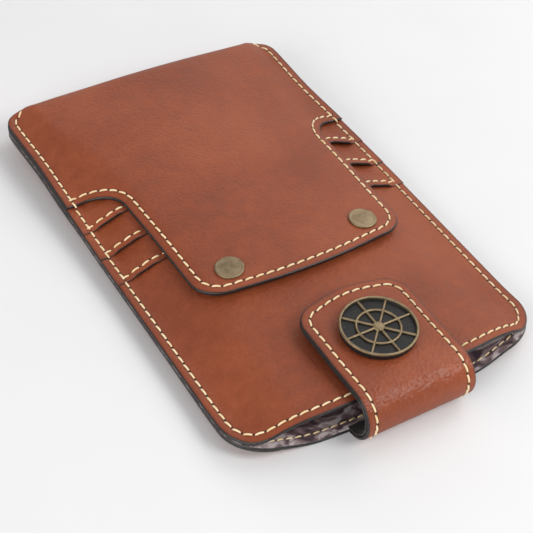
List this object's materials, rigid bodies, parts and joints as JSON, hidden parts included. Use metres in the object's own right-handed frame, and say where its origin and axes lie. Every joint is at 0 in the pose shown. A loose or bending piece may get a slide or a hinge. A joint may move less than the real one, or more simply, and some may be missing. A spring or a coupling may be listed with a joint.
{
  "type": "phone wallet case",
  "caption": "Leather sleeve for a phone with a folded end, side card slots under a snapped flap tongue, and a magnetic strap with a round medallion closing the mouth.",
  "frame": {"origin": "middle of the flat back face that the sleeve lies on, half way between the mouth and the folded end", "axes": "+X across the width, +Y from the mouth to the folded end, +Z out of the front, up when the sleeve lies on its back"},
  "size_m": [0.114, 0.1825, 0.0212],
  "materials": {
    "tan_leather": "smooth cognac leather, satin, black painted edges",
    "dark_leather": "dark lining leather",
    "printed_lining": "printed cotton lining, mauve and grey",
    "antique_brass": "antique brass, worn bright on the high parts",
    "nickel_plate": "dull nickel plate",
    "black_enamel": "black patina",
    "cream_thread": "waxed cream thread"
  },
  "bodies": {
    "sleeve": {"back_panel": "tan_leather", "back_lining": "printed_lining", "front_panel": "tan_leather", "front_lining": "printed_lining", "flap_panel": "tan_leather", "flap_lining": "dark_leather", "card_pocket_upper": "tan_leather", "card_pocket_middle": "tan_leather", "card_pocket_lower": "tan_leather", "strap_root_lining": "dark_leather", "snap_stud_left": "nickel_plate", "snap_stud_right": "nickel_plate", "snap_post_left": "nickel_plate", "snap_post_right": "nickel_plate", "magnet_socket": "antique_brass", "magnet_socket_washer": "nickel_plate", "side_thread_left": "cream_thread", "side_thread_right": "cream_thread", "mouth_thread_front": "cream_thread", "mouth_thread_back": "cream_thread", "pocket_thread_upper": "cream_thread", "pocket_thread_middle": "cream_thread", "pocket_thread_lower": "cream_thread", "flap_thread": "cream_thread"},
    "tongue": {"flap_tongue": "tan_leather", "tongue_lining": "dark_leather", "snap_cap_left": "antique_brass", "snap_cap_right": "antique_brass", "snap_socket_left": "nickel_plate", "snap_socket_right": "nickel_plate", "tongue_thread": "cream_thread"},
    "strap_bend": {"strap_band": "tan_leather", "strap_band_lining": "dark_leather", "strap_band_thread": "cream_thread"},
    "strap_end": {"strap_tab": "tan_leather", "strap_tab_lining": "dark_leather", "magnet_stud": "antique_brass", "magnet_stud_washer": "nickel_plate", "medallion_body": "black_enamel", "medallion_relief": "antique_brass", "strap_tab_thread": "cream_thread"}
  },
  "joints": [
    {"name": "tongue_lift", "type": "hinge", "parent": "sleeve", "child": "tongue", "pos_m": [0, 0.03, 0.0168], "axis": [-1, 0, 0], "range_deg": [0, 120]},
    {"name": "strap_open", "type": "hinge", "parent": "sleeve", "child": "strap_bend", "pos_m": [0, -0.09211, 0.00269], "axis": [1, 0, 0], "range_deg": [0, 85]},
    {"name": "strap_lift", "type": "hinge", "parent": "strap_bend", "child": "strap_end", "pos_m": [0, -0.09211, 0.01571], "axis": [1, 0, 0], "range_deg": [0, 85]}
  ]
}
